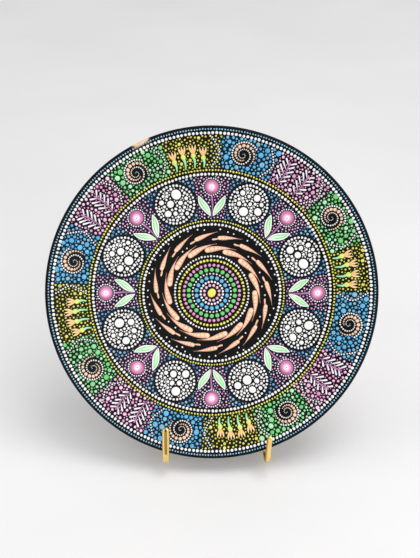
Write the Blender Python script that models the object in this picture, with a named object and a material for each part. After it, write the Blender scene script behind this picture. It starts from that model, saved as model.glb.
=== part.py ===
# Hand painted ceramic plate standing in a brass wire easel.
# Metres, +Z up, the painted face looks along -Y and leans back.
# Origin: middle of the standing area's bounding box, on the surface it stands on.

import math

import bmesh
import bpy
from mathutils import Matrix, Vector

# ---------------------------------------------------------------- plate
PLATE_R = 0.130  # outer radius, a 26 cm plate
PLATE_LEAN = math.radians(25.0)  # angle that it leans back from vertical
PLATE_DEPTH = 0.020  # how far the centre of the face lies behind the rim plane
PLATE_CURVE = 2.6  # power of the coupe curve
WALL_CENTRE = 0.0058  # wall thickness at the centre
WALL_RIM = 0.0042  # wall thickness at the rim
RIM_HEIGHT = 0.015  # lowest point of the rim above the surface
RING_OUT, RING_IN = 0.066, 0.060  # foot ring
RING_HEIGHT = 0.0030
PLATE_SEGMENTS = 72

# ---------------------------------------------------------------- stand
WIRE_R = 0.0010  # 2 mm brass wire
ROD_R = 0.00125  # hinge rod and crossbar
GAP = 0.0003  # between pieces that touch
WIRE_SIDES = 8
LEFT_X, RIGHT_X = -0.0356, 0.0429  # middle of each doubled wire
FOOT_FRONT, FOOT_BACK = 0.041, 0.060  # run of the supports on the surface, behind the rim
FOOT_SPACING = 0.0060  # strand spacing where a foot pad sits
FOOT_WALL = 0.0013
FOOT_LENGTH = 0.0120
SUPPORT_TOP_Z = 0.190
ROD_Z = 0.178
ROD_OVERHANG = 0.0085
CROSSBAR_Z = 0.030
LEG_ANGLE = math.radians(24.0)  # rear leg from vertical
LEG_EYE_INSET = 0.0082  # eye's middle inside the support's middle
LEG_BASE_HALF = 0.021  # half width of the rear leg's run on the surface
TAIL_LENGTH = 0.0080
TAIL_REACH = 0.0095


# ---------------------------------------------------------------- helpers
def clear_scene():
    for obj in list(bpy.data.objects):
        bpy.data.objects.remove(obj, do_unlink=True)


def material(name, colour, roughness, metallic=0.0, coat=0.0, alpha=1.0):
    mat = bpy.data.materials.new(name)
    mat.use_nodes = True
    node = mat.node_tree.nodes["Principled BSDF"]
    node.inputs["Base Color"].default_value = (*colour, 1.0)
    node.inputs["Roughness"].default_value = roughness
    node.inputs["Metallic"].default_value = metallic
    node.inputs["Coat Weight"].default_value = coat
    node.inputs["Alpha"].default_value = alpha
    return mat


def add_object(name, bm, mat, origin=(0.0, 0.0, 0.0), smooth=True):
    """Object whose mesh is in world space, moved so that its own origin is at origin."""
    bmesh.ops.recalc_face_normals(bm, faces=bm.faces)
    mesh = bpy.data.meshes.new(name)
    bm.to_mesh(mesh)
    bm.free()
    mesh.transform(Matrix.Translation(-Vector(origin)))
    mesh.materials.append(mat)
    if smooth:
        mesh.shade_smooth()
        mesh.set_sharp_from_angle(angle=math.radians(40))
    obj = bpy.data.objects.new(name, mesh)
    obj.location = origin
    bpy.context.scene.collection.objects.link(obj)
    return obj


def fillet(points, radii, steps=6):
    """A line through points, its corners rounded with the given radii."""
    line = [Vector(points[0])]
    for i in range(1, len(points) - 1):
        a, b, c = Vector(points[i - 1]), Vector(points[i]), Vector(points[i + 1])
        u, v = (a - b).normalized(), (c - b).normalized()
        half = u.angle(v) / 2
        r = radii[i - 1]
        if r <= 0 or half > math.radians(89.5):
            line.append(b)
            continue
        back = r / math.tan(half)
        centre = b + (u + v).normalized() * (r / math.sin(half))
        p, q = b + u * back - centre, b + v * back - centre
        sweep = p.angle(q)
        for k in range(steps + 1):
            t = k / steps
            line.append(
                centre
                + (p * math.sin((1 - t) * sweep) + q * math.sin(t * sweep)) / math.sin(sweep)
            )
    line.append(Vector(points[-1]))
    return line


def resample(line, step):
    """The same line with no piece longer than step."""
    out = [line[0]]
    for a, b in zip(line, line[1:]):
        n = max(1, math.ceil((b - a).length / step))
        out += [a.lerp(b, k / n) for k in range(1, n + 1)]
    return out


def frames(line, closed):
    """Tangent and two side vectors at each point, carried along without twist."""
    n = len(line)
    tangents = []
    for i in range(n):
        if closed:
            t = line[(i + 1) % n] - line[i - 1]
        else:
            t = line[min(i + 1, n - 1)] - line[max(i - 1, 0)]
        tangents.append(t.normalized())
    side = tangents[0].orthogonal().normalized()
    sides = [side]
    for i in range(1, n):
        turn = tangents[i - 1].rotation_difference(tangents[i])
        side = turn @ side
        side = (side - tangents[i] * side.dot(tangents[i])).normalized()
        sides.append(side)
    if closed:
        last = (tangents[-1].rotation_difference(tangents[0])) @ sides[-1]
        wind = math.atan2(last.dot(tangents[0].cross(sides[0])), last.dot(sides[0]))
        for i in range(n):
            back = Matrix.Rotation(-wind * i / n, 3, tangents[i])
            sides[i] = back @ sides[i]
    return [(t, s, t.cross(s)) for t, s in zip(tangents, sides)]


def tube(line, radius, closed=False, sides=WIRE_SIDES, round_end=True):
    """A wire along a line: a closed loop, or a length with rounded ends."""
    bm = bmesh.new()
    rings = []
    fr = frames(line, closed)

    def ring(centre, s, b, r):
        return [
            bm.verts.new(
                centre
                + s * (r * math.cos(2 * math.pi * k / sides))
                + b * (r * math.sin(2 * math.pi * k / sides))
            )
            for k in range(sides)
        ]

    if not closed and round_end:
        t, s, b = fr[0]
        rings.append(ring(line[0] - t * radius * 0.35, s, b, radius * 0.62))
    for p, (t, s, b) in zip(line, fr):
        rings.append(ring(p, s, b, radius))
    if not closed and round_end:
        t, s, b = fr[-1]
        rings.append(ring(line[-1] + t * radius * 0.35, s, b, radius * 0.62))
    count = len(rings)
    for i in range(count if closed else count - 1):
        a, c = rings[i], rings[(i + 1) % count]
        for k in range(sides):
            m = (k + 1) % sides
            bm.faces.new((a[k], a[m], c[m], c[k]))
    if not closed:
        bm.faces.new(list(reversed(rings[0])))
        bm.faces.new(rings[-1])
    return bm


def lathe(profile, segments):
    """A closed profile of (radius, height) turned round Z; radius 0 makes a pole."""
    bm = bmesh.new()
    columns = []
    for r, z in profile:
        if r < 1e-9:
            columns.append([bm.verts.new((0, 0, z))])
        else:
            columns.append(
                [
                    bm.verts.new(
                        (
                            r * math.cos(2 * math.pi * k / segments),
                            r * math.sin(2 * math.pi * k / segments),
                            z,
                        )
                    )
                    for k in range(segments)
                ]
            )
    for a, c in zip(columns, columns[1:]):
        for k in range(segments):
            m = (k + 1) % segments
            if len(a) == 1:
                bm.faces.new((a[0], c[k], c[m]))
            elif len(c) == 1:
                bm.faces.new((a[k], c[0], a[m]))
            else:
                bm.faces.new((a[k], c[k], c[m], a[m]))
    return bm


def bored_prism(outer, inner, start, along, length, side, up):
    """A straight piece with a bore through it: both outlines have the same number of points."""
    bm = bmesh.new()
    loops = []
    for end in (0.0, length):
        base = start + along * end
        loops.append(
            (
                [bm.verts.new(base + side * x + up * z) for x, z in outer],
                [bm.verts.new(base + side * x + up * z) for x, z in inner],
            )
        )
    n = len(outer)
    (o0, i0), (o1, i1) = loops
    for k in range(n):
        m = (k + 1) % n
        bm.faces.new((o0[k], o0[m], o1[m], o1[k]))
        bm.faces.new((i0[m], i0[k], i1[k], i1[m]))
        bm.faces.new((o0[m], o0[k], i0[k], i0[m]))
        bm.faces.new((o1[k], o1[m], i1[m], i1[k]))
    return bm


def stadium(half, r, steps=6):
    """Outline of a slot: two half circles of radius r, their middles half apart from the middle."""
    pts = []
    for sign, start in ((1, -90), (-1, 90)):
        for k in range(steps + 1):
            a = math.radians(start + 180 * k / steps)
            pts.append((sign * half + r * math.cos(a), r * math.sin(a)))
    return pts


def boxed(half_w, low, high, corner, steps=6):
    """A rounded box outline whose points pair off with those of stadium()."""
    pts = []
    for sign in (1, -1):
        cx = sign * (half_w - corner)
        first, last = (low + corner, high - corner) if sign > 0 else (high - corner, low + corner)
        side = []
        for k in range(steps // 2):
            a = math.radians(90 * k / (steps // 2 - 1))
            side.append((cx + sign * corner * math.sin(a), first - sign * corner * math.cos(a)))
        side.append((sign * half_w, (low + high) / 2))
        for k in range(steps // 2):
            a = math.radians(90 - 90 * k / (steps // 2 - 1))
            side.append((cx + sign * corner * math.sin(a), last + sign * corner * math.cos(a)))
        pts += side
    return pts


# ---------------------------------------------------------------- plate's own geometry
def face_depth(r):
    """How far the painted face lies behind the rim plane at radius r."""
    return PLATE_DEPTH * (1.0 - (r / PLATE_R) ** PLATE_CURVE)


def wall(r):
    return WALL_CENTRE + (WALL_RIM - WALL_CENTRE) * (r / PLATE_R) ** 2


def back_depth(r):
    return face_depth(r) + wall(r)


RING_PLANE = back_depth(0.0) + RING_HEIGHT  # depth of the foot ring's flat face

# The rim's lowest front point has y = 0 while the parts are laid out; SHIFT_Y centres the whole.
sinL, cosL = math.sin(PLATE_LEAN), math.cos(PLATE_LEAN)
UP = Vector((0, sinL, cosL))  # up along the plate
BACK = Vector((0, cosL, -sinL))  # from the face to the back
CENTRE = UP * PLATE_R + Vector((0, 0, RIM_HEIGHT))  # middle of the rim plane


def on_plate(x, w, d):
    """World point at x, w up along the plate and d behind the rim plane."""
    return CENTRE + Vector((x, 0, 0)) + UP * w + BACK * d


def plate_profile():
    front = [(PLATE_R - 0.0016) * math.sin(math.pi / 2 * k / 15) ** 0.9 for k in range(16)]
    pts = [(r, -face_depth(r)) for r in front]
    # rounded edge
    r0 = PLATE_R - 0.0016
    top, low = -face_depth(r0), -back_depth(r0)
    mid, half = (top + low) / 2, (top - low) / 2
    for k in range(1, 6):
        a = math.pi / 2 - math.pi * k / 6
        pts.append((r0 + 0.0016 * math.cos(a), mid + half * math.sin(a)))
    # back, foot ring and centre
    outer = [PLATE_R - 0.0016, 0.122, 0.112, 0.101, 0.090, 0.080, 0.072]
    pts += [(r, -back_depth(r)) for r in outer]
    pts += [
        (RING_OUT + 0.0018, -back_depth(RING_OUT + 0.0018)),
        (RING_OUT + 0.0003, -RING_PLANE + 0.0009),
        (RING_OUT - 0.0006, -RING_PLANE),
        (RING_IN + 0.0006, -RING_PLANE),
        (RING_IN - 0.0003, -RING_PLANE + 0.0009),
        (RING_IN - 0.0016, -back_depth(RING_IN - 0.0016)),
    ]
    pts += [(r, -back_depth(r)) for r in (0.048, 0.034, 0.018)]
    pts.append((0.0, -back_depth(0.0)))
    return pts


def rim_low(x):
    """Lowest world z of the plate's edge at x."""
    best = 1.0
    for k in range(0, 25):
        r = PLATE_R - 0.0100 * k / 24
        if abs(x) >= r:
            continue
        w = -math.sqrt(r * r - x * x)
        best = min(best, on_plate(x, w, back_depth(min(r, PLATE_R - 0.0008))).z)
    return best


# ---------------------------------------------------------------- supports
def ring_touch(x):
    """Where an upright wire at x meets the top of the foot ring: the wire's middle."""
    w = math.sqrt((RING_OUT - 0.0006) ** 2 - x * x)
    return on_plate(x, w, RING_PLANE + WIRE_R + GAP)


def support_side(x, hook_forward, hook_lean, hook_up, hook_tilt_x, hook_dip):
    """Middle line of a doubled wire, from the hook's tip to the top, and the rim's height there."""
    rim = on_plate(x, -math.sqrt(PLATE_R**2 - x * x), 0.0)
    arm_z = rim_low(x) - GAP - WIRE_R
    foot_z = FOOT_WALL + GAP + WIRE_R
    touch = ring_touch(x - math.copysign(FOOT_SPACING / 2, x))
    front_y = rim.y - hook_forward
    tip = Vector((x + hook_tilt_x, front_y + hook_lean, rim.z + hook_up))
    low = Vector((x, front_y, arm_z + 0.0012 - hook_dip))
    under = Vector((x, rim.y + 0.004, arm_z - 0.0008))
    foot_a = Vector((x, FOOT_FRONT, foot_z))
    foot_b = Vector((x, FOOT_BACK, foot_z))
    slope = (touch.y - foot_b.y) / (touch.z - foot_b.z)
    top = Vector((x, touch.y + slope * (SUPPORT_TOP_Z - touch.z), SUPPORT_TOP_Z))
    line = fillet([tip, low, under, foot_a, foot_b, top], [0.0030, 0.010, 0.008, 0.005])
    return resample(line, 0.0120), slope, foot_b


def spacing_at(keys, s):
    for (s0, v0), (s1, v1) in zip(keys, keys[1:]):
        if s <= s1:
            t = (s - s0) / (s1 - s0)
            t = t * t * (3 - 2 * t)
            return v0 + (v1 - v0) * t
    return keys[-1][1]


def doubled(line, keys):
    """One loop of wire made from a middle line: two strands joined by a round turn at each end."""
    lengths = [0.0]
    for a, b in zip(line, line[1:]):
        lengths.append(lengths[-1] + (b - a).length)
    half = [spacing_at(keys, s) / 2 for s in lengths]
    x = Vector((1, 0, 0))
    one = [p - x * h for p, h in zip(line, half)]
    two = [p + x * h for p, h in zip(line, half)]
    end_t = (line[-1] - line[-2]).normalized()
    start_t = (line[0] - line[1]).normalized()

    def turn(centre, t, h, sign):
        pts = []
        for k in range(1, 6):
            a = math.pi * k / 6
            pts.append(centre - x * (sign * h * math.cos(a)) + t * (h * math.sin(a)))
        return pts

    loop = one + turn(line[-1], end_t, half[-1], 1)
    loop += list(reversed(two)) + turn(line[0], start_t, half[0], -1)
    return loop


clear_scene()

brass = material("brass_wire", (0.72, 0.50, 0.16), 0.26, 1.0)
brass_rod = material("brass_rod", (0.70, 0.48, 0.16), 0.30, 1.0)
glaze = material("painted_glaze", (0.012, 0.012, 0.016), 0.22, 0.0, 0.5)
vinyl = material("foot_rubber", (0.80, 0.78, 0.72), 0.45)

left_line, left_slope, left_foot = support_side(LEFT_X, 0.0080, 0.0046, 0.0232, 0.0, 0.0028)
right_line, right_slope, right_foot = support_side(RIGHT_X, 0.0118, 0.0040, 0.0162, 0.0018, 0.0016)

# the whole object's depth, from the hooks' front to the rear leg's foot, is centred on y = 0
rod_mid_y = (
    left_foot.y
    + left_slope * (ROD_Z - left_foot.z)
    + (WIRE_R + GAP + ROD_R) / math.cos(math.atan(left_slope))
)
foot_z = FOOT_WALL + GAP + WIRE_R
LEG_EYE_R = ROD_R + GAP + WIRE_R
leg_down = Vector((0, math.sin(LEG_ANGLE), -math.cos(LEG_ANGLE)))
rod_point = Vector((0, rod_mid_y, ROD_Z))
leg_start = rod_point + Vector((0, math.cos(LEG_ANGLE), math.sin(LEG_ANGLE))) * LEG_EYE_R
leg_foot = leg_start + leg_down * ((leg_start.z - foot_z) / -leg_down.z)
pad_back = leg_foot.y + WIRE_R + GAP + FOOT_WALL
hook_front = min(p.y for p in left_line + right_line) - WIRE_R
SHIFT_Y = -(pad_back + hook_front) / 2
shift = Vector((0, SHIFT_Y, 0))

# plate: turned about its own axis, then leaned back
bm = lathe(plate_profile(), PLATE_SEGMENTS)
lean = Matrix.Rotation(math.pi / 2 - PLATE_LEAN, 4, "X")
bmesh.ops.transform(bm, matrix=Matrix.Translation(CENTRE + shift) @ lean, verts=bm.verts)
add_object("plate", bm, glaze, CENTRE + shift)

# supports: each is one loop of wire, hook in front, foot run below, upright behind
left_keys = [(0.0, 0.0034), (0.010, 0.0038), (0.025, 0.0027), (0.036, 0.0027), (0.062, 0.0060), (0.30, 0.0060)]
right_keys = [(0.0, 0.0023), (0.022, 0.0024), (0.050, 0.0060), (0.30, 0.0060)]
for name, line, keys in (
    ("left_support", left_line, left_keys),
    ("right_support", right_line, right_keys),
):
    loop = [p + shift for p in doubled(line, keys)]
    add_object(name, tube(loop, WIRE_R, closed=True), brass)

# hinge rod behind the uprights and crossbar in front of them
left_out = LEFT_X - FOOT_SPACING / 2 - WIRE_R - ROD_OVERHANG
right_out = RIGHT_X + FOOT_SPACING / 2 + WIRE_R + ROD_OVERHANG


def upright_y(foot, slope, z):
    return foot.y + slope * (z - foot.z)


def cross_rod(name, z, behind):
    reach = (WIRE_R + GAP + ROD_R) * (1 if behind else -1)
    ends = []
    for x, foot, slope in ((left_out, left_foot, left_slope), (right_out, right_foot, right_slope)):
        lean_here = math.atan(slope)
        ends.append(
            Vector(
                (
                    x,
                    upright_y(foot, slope, z)
                    + reach / math.cos(lean_here)
                    + SHIFT_Y,
                    z,
                )
            )
        )
    y = max(e.y for e in ends) if behind else min(e.y for e in ends)
    line = [Vector((left_out, y, z)), Vector((right_out, y, z))]
    line = resample(line, 0.030)
    return add_object(name, tube(line, ROD_R, sides=12), brass_rod, (0, y, z))


hinge = cross_rod("hinge_rod", ROD_Z, True)
cross_rod("lower_crossbar", CROSSBAR_Z, False)
rod = Vector((0, hinge.location.y, ROD_Z))


# rear leg: one wire, curled round the hinge rod at both ends, with a stop tail
def leg_half(side):
    """From the stop tail's end, round the rod, to the middle of the run on the surface."""
    x_mid = RIGHT_X if side > 0 else LEFT_X
    x_eye = x_mid - side * LEG_EYE_INSET
    eye = Vector((x_eye, rod.y, rod.z))
    lean_here = math.atan(right_slope if side > 0 else left_slope)
    lean_dir = Vector((0, math.sin(lean_here), math.cos(lean_here)))
    # tail direction: along the upright, tipped forward so that it bears on the wire
    tip_forward = math.radians(17.0)
    end_angle = 2 * math.pi - lean_here + tip_forward
    start_angle = LEG_ANGLE
    curl = []
    steps = 16
    for k in range(steps + 1):
        a = start_angle + (end_angle - start_angle) * k / steps
        out = side * (2 * WIRE_R + 0.0004) * k / steps
        curl.append(eye + Vector((out, LEG_EYE_R * math.cos(a), LEG_EYE_R * math.sin(a))))
    tail_dir = Vector((0, -math.sin(end_angle), math.cos(end_angle)))
    bend = curl[-1] + tail_dir * TAIL_LENGTH
    tail_end = bend + Vector((side * TAIL_REACH, 0, 0))
    tail = fillet([curl[-1], bend, tail_end], [0.0022])
    foot_mid = rod + Vector((0, math.cos(LEG_ANGLE), math.sin(LEG_ANGLE))) * LEG_EYE_R
    run = (foot_mid.z - foot_z) / math.cos(LEG_ANGLE)
    base = foot_mid + leg_down * run
    x_centre = (LEFT_X + RIGHT_X) / 2
    corner = Vector((x_centre + side * LEG_BASE_HALF, base.y, foot_z))
    middle = Vector((x_centre, base.y, foot_z))
    down = fillet([curl[0], corner, middle], [0.0075])
    down = resample(down, 0.020)
    return list(reversed(tail)) + list(reversed(curl[1:-1])) + down


right_half = leg_half(1)
left_half = leg_half(-1)
leg_line = right_half[:-1] + list(reversed(left_half))
add_object("rear_leg", tube(leg_line, WIRE_R), brass, rod)

# foot pads: moulded rubber, flat below, threaded on the wire
inner = stadium(FOOT_SPACING / 2, WIRE_R + GAP)
outer = boxed(FOOT_SPACING / 2 + WIRE_R + GAP + 0.0014, -foot_z, foot_z, 0.0010)
for name, x in (("left_foot_pad", LEFT_X), ("right_foot_pad", RIGHT_X)):
    start = Vector((x, FOOT_FRONT + 0.0018 + SHIFT_Y, foot_z))
    bm = bored_prism(
        outer, inner, start, Vector((0, 1, 0)), FOOT_LENGTH, Vector((1, 0, 0)), Vector((0, 0, 1))
    )
    add_object(name, bm, vinyl, start)

inner = stadium(0.0003, WIRE_R + GAP)
outer = boxed(WIRE_R + GAP + FOOT_WALL, -foot_z, foot_z, 0.0008)
x_centre = (LEFT_X + RIGHT_X) / 2
pad_half = 0.0115
base_y = right_half[-1].y
start = Vector((x_centre - pad_half, base_y, foot_z))
bm = bored_prism(
    outer, inner, start, Vector((1, 0, 0)), 2 * pad_half, Vector((0, 1, 0)), Vector((0, 0, 1))
)
add_object("rear_foot_pad", bm, vinyl, start)
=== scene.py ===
# Looks for the painted ceramic plate in its brass wire easel.
# The plate's decoration is a plain dot pattern made by rule. It is laid out in drawing units: 1 unit is
# 0.777 mm on the plate, x to the right and y downwards, and the plate's middle is at (211.8, 293.2).

import math

import bmesh
import bpy
import numpy as np
from mathutils import Matrix, Vector
from mathutils.geometry import delaunay_2d_cdt


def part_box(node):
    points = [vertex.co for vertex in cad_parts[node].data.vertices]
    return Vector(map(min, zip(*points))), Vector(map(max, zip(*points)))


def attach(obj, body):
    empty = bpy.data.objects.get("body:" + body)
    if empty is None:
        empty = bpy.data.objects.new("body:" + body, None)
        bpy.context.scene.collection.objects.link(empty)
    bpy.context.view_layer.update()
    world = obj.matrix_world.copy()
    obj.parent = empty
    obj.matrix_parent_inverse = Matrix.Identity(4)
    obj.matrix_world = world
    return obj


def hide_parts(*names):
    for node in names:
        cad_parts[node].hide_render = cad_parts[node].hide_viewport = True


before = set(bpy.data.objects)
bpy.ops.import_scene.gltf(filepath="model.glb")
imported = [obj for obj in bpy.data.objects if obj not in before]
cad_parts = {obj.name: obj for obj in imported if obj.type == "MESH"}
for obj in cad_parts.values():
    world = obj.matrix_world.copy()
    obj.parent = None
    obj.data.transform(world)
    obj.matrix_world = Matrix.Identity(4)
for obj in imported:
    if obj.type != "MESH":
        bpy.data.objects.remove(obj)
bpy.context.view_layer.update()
rng = np.random.default_rng(20)

# ------------------------------------------------------------------ design values shared with the CAD
PLATE_R = 0.130
LEAN = math.radians(25.0)
DEPTH = 0.020
CURVE = 2.6
WALL_CENTRE, WALL_RIM = 0.0058, 0.0042
RIM_HEIGHT = 0.015
RING_OUT, RING_IN, RING_HEIGHT = 0.066, 0.060, 0.0030
WIRE_R, ROD_R, GAP = 0.0010, 0.00125, 0.0003
LEFT_X, RIGHT_X = -0.0356, 0.0429
FOOT_FRONT, FOOT_BACK, FOOT_SPACING, FOOT_WALL, FOOT_LENGTH = 0.041, 0.060, 0.0060, 0.0013, 0.0120
SUPPORT_TOP_Z, ROD_Z, ROD_OVERHANG, CROSSBAR_Z = 0.190, 0.178, 0.0085, 0.030
LEG_ANGLE, LEG_EYE_INSET, LEG_BASE_HALF = math.radians(24.0), 0.0082, 0.021
TAIL_LENGTH, TAIL_REACH = 0.0080, 0.0095

low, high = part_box("plate")
sinL, cosL = math.sin(LEAN), math.cos(LEAN)
UP = np.array([0.0, sinL, cosL])
BACK = np.array([0.0, cosL, -sinL])
EX = np.array([1.0, 0.0, 0.0])
# the rim plane's middle: across, the middle of the imported plate's box, whose sides are the rim itself (its top is the
# rim's back edge); front to back a fixed value, and up the rim height
SHIFT_Y = -0.0925218
CENTRE = UP * PLATE_R + np.array([(low.x + high.x) / 2, SHIFT_Y, RIM_HEIGHT])

# ------------------------------------------------------------------ camera and drawing units
UNIT = PLATE_R / 167.3
CX, CY = 211.8, 293.2
ELEVATION = math.radians(28.0)
DISTANCE = 0.95
TILT = ELEVATION - LEAN


def face_depth(r):
    return DEPTH * (1.0 - np.clip(r / PLATE_R, 0, 1) ** CURVE)


def back_depth(r):
    return face_depth(r) + WALL_CENTRE + (WALL_RIM - WALL_CENTRE) * (r / PLATE_R) ** 2


RING_PLANE = float(back_depth(0.0)) + RING_HEIGHT


def to_plate(p):
    """Drawing units to metres across and up the plate, as seen square on."""
    p = np.asarray(p, float)
    x = (p[..., 0] - CX) * UNIT
    w = (CY - p[..., 1]) * UNIT
    d = face_depth(np.hypot(x, w))
    k = 1.0 + d / DISTANCE
    return np.stack([x * k, w * k - d * math.tan(TILT)], -1)


def surface(q, lift):
    """World points over plate coordinates q (metres), lifted off the glaze by lift."""
    x, w = q[..., 0], q[..., 1]
    r = np.maximum(np.hypot(x, w), 1e-9)
    d = face_depth(r)
    slope = -DEPTH * CURVE / PLATE_R * np.clip(r / PLATE_R, 0, 1) ** (CURVE - 1)
    gx, gw = slope * x / r, slope * w / r
    n = gx[..., None] * EX + gw[..., None] * UP - BACK
    n /= np.linalg.norm(n, axis=-1, keepdims=True)
    base = CENTRE + x[..., None] * EX + w[..., None] * UP + d[..., None] * BACK
    return base + n * np.asarray(lift)[..., None]


def srgb(c):
    c = np.asarray(c, float) / 255.0
    return np.where(c <= 0.04045, c / 12.92, ((c + 0.055) / 1.055) ** 2.4)


# ------------------------------------------------------------------ colours
WHITE = (246, 246, 245)
PEACH = (243, 198, 160)
PEACH_TAIL = (228, 166, 146)
YELLOW = (236, 230, 98)
GREEN = (104, 206, 112)
PALE_GREEN = (178, 236, 186)
LEAF = (150, 222, 148)
PALE_BLUE = (140, 196, 224)
PINK = (242, 184, 220)
ROSE = (226, 150, 200)
MAUVE = (140, 84, 130)


# ------------------------------------------------------------------ mesh store
class Store:
    """Vertices, faces and paint colours of many small shapes, made into one mesh."""

    def __init__(self):
        self.v, self.c, self.loops, self.sizes, self.count = [], [], [], [], 0

    def add(self, verts, faces, colours):
        """faces: list of integer arrays (n, k), all indexes from 0 within verts."""
        self.v.append(verts)
        self.c.append(colours)
        for f in faces:
            f = np.asarray(f)
            self.loops.append((f + self.count).ravel())
            self.sizes.append(np.full(len(f), f.shape[1], np.int32))
        self.count += len(verts)

    def make(self, name, mat):
        v = np.concatenate(self.v)
        c = np.concatenate(self.c)
        loops = np.concatenate(self.loops).astype(np.int32)
        sizes = np.concatenate(self.sizes)
        starts = np.concatenate([[0], np.cumsum(sizes)[:-1]]).astype(np.int32)
        mesh = bpy.data.meshes.new(name)
        mesh.vertices.add(len(v))
        mesh.vertices.foreach_set("co", v.astype(np.float32).ravel())
        mesh.loops.add(len(loops))
        mesh.loops.foreach_set("vertex_index", loops)
        mesh.polygons.add(len(sizes))
        mesh.polygons.foreach_set("loop_start", starts)
        mesh.polygons.foreach_set("loop_total", sizes)
        mesh.update(calc_edges=True)
        mesh.validate()
        attribute = mesh.color_attributes.new("paint", "FLOAT_COLOR", "POINT")
        rgba = np.concatenate([c, np.ones((len(c), 1))], 1).astype(np.float32)
        attribute.data.foreach_set("color", rgba.ravel())
        mesh.polygons.foreach_set("use_smooth", np.ones(len(mesh.polygons), bool))
        mesh.materials.append(mat)
        obj = bpy.data.objects.new(name, mesh)
        bpy.context.scene.collection.objects.link(obj)
        return obj


# ------------------------------------------------------------------ what is painted where
CELLS = 3  # cells to a drawing unit
SIDE = 350
taken = np.zeros((SIDE * CELLS, SIDE * CELLS), bool)
X0, Y0 = CX - SIDE / 2, CY - SIDE / 2
_gy, _gx = np.mgrid[0 : SIDE * CELLS, 0 : SIDE * CELLS]
GX = X0 + (_gx + 0.5) / CELLS
GY = Y0 + (_gy + 0.5) / CELLS
ON_PLATE = np.hypot(GX - CX, GY - CY) < 166.0
_stamps = {}


def stamp(r):
    key = max(1, int(round(r * CELLS * 2)))
    if key not in _stamps:
        rr = key / 2
        n = int(math.ceil(rr))
        yy, xx = np.mgrid[-n : n + 1, -n : n + 1]
        _stamps[key] = (n, xx * xx + yy * yy <= rr * rr)
    return _stamps[key]


def cell(x, y):
    return int((x - X0) * CELLS), int((y - Y0) * CELLS)


def mark(x, y, r):
    i, j = cell(x, y)
    n, s = stamp(r)
    if n < i < SIDE * CELLS - n - 1 and n < j < SIDE * CELLS - n - 1:
        taken[j - n : j + n + 1, i - n : i + n + 1] |= s


def is_free(i, j, r):
    n, s = stamp(r)
    if not (n < i < SIDE * CELLS - n - 1 and n < j < SIDE * CELLS - n - 1):
        return False
    return not (taken[j - n : j + n + 1, i - n : i + n + 1] & s).any()


def inside(poly):
    """Cells inside a closed outline."""
    poly = np.asarray(poly, float)
    out = np.zeros(GX.shape, bool)
    x1, y1 = poly[:, 0], poly[:, 1]
    x2, y2 = np.roll(x1, -1), np.roll(y1, -1)
    lo = (np.array([x1.min(), y1.min()]) - [X0, Y0]) * CELLS
    hi = (np.array([x1.max(), y1.max()]) - [X0, Y0]) * CELLS
    i0, j0 = np.maximum(lo.astype(int) - 1, 0)
    i1, j1 = np.minimum(hi.astype(int) + 2, SIDE * CELLS)
    gx, gy = GX[j0:j1, i0:i1], GY[j0:j1, i0:i1]
    acc = np.zeros(gx.shape, bool)
    for a, b, c, d in zip(x1, y1, x2, y2):
        if b == d:
            continue
        cross = ((b > gy) != (d > gy)) & (gx < (c - a) * (gy - b) / (d - b) + a)
        acc ^= cross
    out[j0:j1, i0:i1] = acc
    return out & ON_PLATE


def circle_mask(x, y, r):
    return (np.hypot(GX - x, GY - y) < r) & ON_PLATE


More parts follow.
